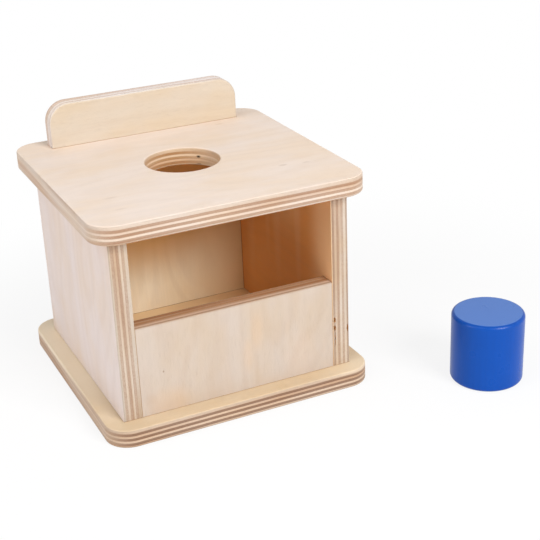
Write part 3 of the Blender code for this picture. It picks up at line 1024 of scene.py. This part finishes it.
class PERMANENCE_BOX_OT_dowels(Operator):
    """Give the fluted dowels their beech, with its grain along each of them"""

    bl_idname = "permanence_box.dowels"
    bl_label = "Dowels"

    def execute(self, context):
        _, finishes, _ = settings()
        beech = {
            ACROSS: beech_wood("beech across", finishes.beech, UP.rotation_difference(RIGHT).to_euler()),
            UPRIGHT: beech_wood("beech upright", finishes.beech, (0, 0, 0)),
        }
        for name in dowel_names():
            low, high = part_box(name)
            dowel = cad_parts[name]
            dowel.data.materials.clear()
            dowel.data.materials.append(beech[longest_axis(high - low)])
        return {"FINISHED"}


class PERMANENCE_BOX_OT_cylinder(Operator):
    """Model the loose turned cylinder in blue lacquer"""

    bl_idname = "permanence_box.cylinder"
    bl_label = "Cylinder"

    def execute(self, context):
        sizes, finishes, _ = settings()
        low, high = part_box("cylinder")
        size = high - low
        piece = rod("cylinder_turned", (low + high) / 2, UP, size.x / 2, size.z, CYLINDER_STEPS)
        round_edges(
            piece, lambda middle, along: at(middle.z, low.z, high.z), sizes.cylinder_rim, sizes.rim_steps
        )
        finish_piece(piece, "cylinder", lacquer(finishes.lacquer, finishes.end_sheen_lacquer))
        return {"FINISHED"}


# Stage

FLOOR_SIZE = 12.0
FLOOR_DROP = 0.0002  # under the base, so that the two faces don't meet
FLOOR_ROUGHNESS = 0.9
SHADOW_MIDDLE = (0.05, -0.04, 0.0)
SHADOW_FADE = 0.17  # how far from its middle the floor's shadow starts to fade
SHADOW_END = 0.38  # where none of it is left
CAMERA_AZIMUTH = math.radians(-24.7171)
CAMERA_ELEVATION = math.radians(23.8784)
CAMERA_ROLL = math.radians(-2.4342)
CAMERA_TARGET = Vector((0.0524843, -0.0136263, 0.060))
CAMERA_DISTANCE = 0.8191875
CAMERA_LENS = 80.5502
CAMERA_SENSOR = 36.0
CAMERA_CLIP = (0.01, 60.0)
LAMP_AIM = Vector((0.03, -0.02, 0.07))
LAMP_DISTANCE = 1.6
LAMP_SIZE = 0.7
# Each lamp, with its azimuth and elevation in degrees and the setting that holds its power
LAMPS = (
    ("key_lamp", 15, 30, "key_power"),
    ("side_lamp", -90, 20, "side_power"),
    ("fill_lamp", -60, 45, "fill_power"),
)


def from_direction(azimuth, elevation):
    """A unit vector towards this side of the box. Azimuth 0 is the front, and it turns to the right."""
    level = math.cos(elevation)
    return Vector((math.sin(azimuth) * level, -math.cos(azimuth) * level, math.sin(elevation)))


def add_camera():
    back = from_direction(CAMERA_AZIMUTH, CAMERA_ELEVATION)
    right = UP.cross(back).normalized()
    turned = Matrix.Rotation(CAMERA_ROLL, 3, back)
    right = turned @ right
    up = back.cross(right)
    bpy.ops.object.camera_add()
    camera = bpy.context.active_object
    camera.name = "camera"
    place = Matrix((right, up, back)).transposed().to_4x4()
    place.translation = CAMERA_TARGET + back * CAMERA_DISTANCE
    camera.matrix_world = place
    camera.data.lens = CAMERA_LENS
    camera.data.sensor_width = CAMERA_SENSOR
    camera.data.clip_start, camera.data.clip_end = CAMERA_CLIP
    bpy.context.scene.camera = camera


def add_lamp(name, azimuth, elevation, power):
    """A square soft lamp that faces the middle of the object, from these degrees."""
    away = from_direction(math.radians(azimuth), math.radians(elevation))
    bpy.ops.object.light_add(type="AREA", location=LAMP_AIM + away * LAMP_DISTANCE)
    lamp = bpy.context.active_object
    lamp.name = name
    lamp.rotation_euler = away.to_track_quat("Z", "Y").to_euler()
    lamp.data.shape = "SQUARE"
    lamp.data.size = LAMP_SIZE
    lamp.data.energy = power
    lamp.data.color = (1.0, 1.0, 1.0)


def seen_directly(tree):
    """1 for what the camera sees, also in a mirror or through glass, and 0 for the light on the object."""
    path = tree.nodes.new("ShaderNodeLightPath")
    value = path.outputs["Is Camera Ray"]
    for other in ("Is Glossy Ray", "Is Transmission Ray"):
        most = tree.nodes.new("ShaderNodeMath")
        most.operation = "MAXIMUM"
        tree.links.new(value, most.inputs[0])
        tree.links.new(path.outputs[other], most.inputs[1])
        value = most.outputs[0]
    return value


def light_world(strength):
    """An even white sky of this strength, which shows as plain white."""
    world = bpy.data.worlds.new("pale studio")
    bpy.context.scene.world = world
    world.use_nodes = True
    tree = world.node_tree
    sky = tree.nodes["Background"]
    sky.inputs["Color"].default_value = (1, 1, 1, 1)
    bright = tree.nodes.new("ShaderNodeMapRange")
    tree.links.new(seen_directly(tree), bright.inputs["Value"])
    bright.inputs["To Min"].default_value = strength
    bright.inputs["To Max"].default_value = 1.0
    tree.links.new(bright.outputs[0], sky.inputs["Strength"])


def floor_paint(tone, shadow_share):
    """A pale matt floor to the light, which the camera sees white but for its share of the shadow.

    That share fades out away from the object.
    """
    finish = Finish("pale floor")
    finish.surface(tone, FLOOR_ROUGHNESS, 0.0)
    white = finish.add("ShaderNodeEmission", {"Color": (1, 1, 1), "Strength": 1.0})
    away = finish.length(finish.place(SHADOW_MIDDLE))
    shadow = finish.ramp(away, SHADOW_END, SHADOW_FADE, 0.0, shadow_share)
    share = finish.times(seen_directly(finish.tree), finish.without(shadow))
    inputs = {0: share, 1: finish.shader.outputs[0], 2: white.outputs[0]}
    mixed = finish.add("ShaderNodeMixShader", inputs)
    finish.feed(finish.tree.nodes["Material Output"].inputs["Surface"], mixed.outputs[0])
    return finish.material


class PERMANENCE_BOX_OT_stage(Operator):
    """Set the pale floor, the soft light and the camera"""

    bl_idname = "permanence_box.stage"
    bl_label = "Stage"

    def execute(self, context):
        _, _, stage = settings()
        bpy.ops.object.select_all(action="DESELECT")
        bpy.ops.mesh.primitive_plane_add(size=FLOOR_SIZE, location=(0, 0, -FLOOR_DROP))
        floor = added("floor")
        floor.data.materials.append(floor_paint(stage.floor_colour, stage.shadow_share))
        light_world(stage.sky_strength)
        for name, azimuth, elevation, power_setting in LAMPS:
            add_lamp(name, azimuth, elevation, getattr(stage, power_setting))
        add_camera()
        context.scene.view_settings.view_transform = "Standard"
        return {"FINISHED"}


class PERMANENCE_BOX_PT_panel(Panel):
    """Lists the pieces of the box, with their sizes and colours, and the stage"""

    bl_idname = "PERMANENCE_BOX_PT_panel"
    bl_label = "Permanence Box"
    bl_space_type = "VIEW_3D"
    bl_region_type = "UI"
    bl_category = "Permanence Box"

    def draw(self, context):
        for operator in OPERATORS:
            self.layout.operator(operator.bl_idname)
        for group in settings():
            for name in group.__annotations__:
                self.layout.prop(group, name)


GROUPS = {
    "permanence_box_sizes": PermanenceBoxSizes,
    "permanence_box_finishes": PermanenceBoxFinishes,
    "permanence_box_stage": PermanenceBoxStage,
}
OPERATORS = (
    PERMANENCE_BOX_OT_stage,
    PERMANENCE_BOX_OT_base_plate,
    PERMANENCE_BOX_OT_top_plate,
    PERMANENCE_BOX_OT_sides,
    PERMANENCE_BOX_OT_back_panel,
    PERMANENCE_BOX_OT_front_lip,
    PERMANENCE_BOX_OT_back_stop,
    PERMANENCE_BOX_OT_glue,
    PERMANENCE_BOX_OT_dowels,
    PERMANENCE_BOX_OT_cylinder,
)


def register():
    for kind in (*GROUPS.values(), *OPERATORS, PERMANENCE_BOX_PT_panel):
        bpy.utils.register_class(kind)
    for name, group in GROUPS.items():
        setattr(bpy.types.Scene, name, PointerProperty(type=group))


def unregister():
    for name in GROUPS:
        delattr(bpy.types.Scene, name)
    for kind in (PERMANENCE_BOX_PT_panel, *reversed(OPERATORS), *reversed(GROUPS.values())):
        bpy.utils.unregister_class(kind)


def main():
    register()
    bpy.ops.permanence_box.stage()
    bpy.ops.permanence_box.base_plate()
    bpy.ops.permanence_box.top_plate()
    bpy.ops.permanence_box.sides()
    bpy.ops.permanence_box.back_panel()
    bpy.ops.permanence_box.front_lip()
    bpy.ops.permanence_box.back_stop()
    bpy.ops.permanence_box.glue()
    bpy.ops.permanence_box.dowels()
    bpy.ops.permanence_box.cylinder()


if __name__ == "__main__":
    main()
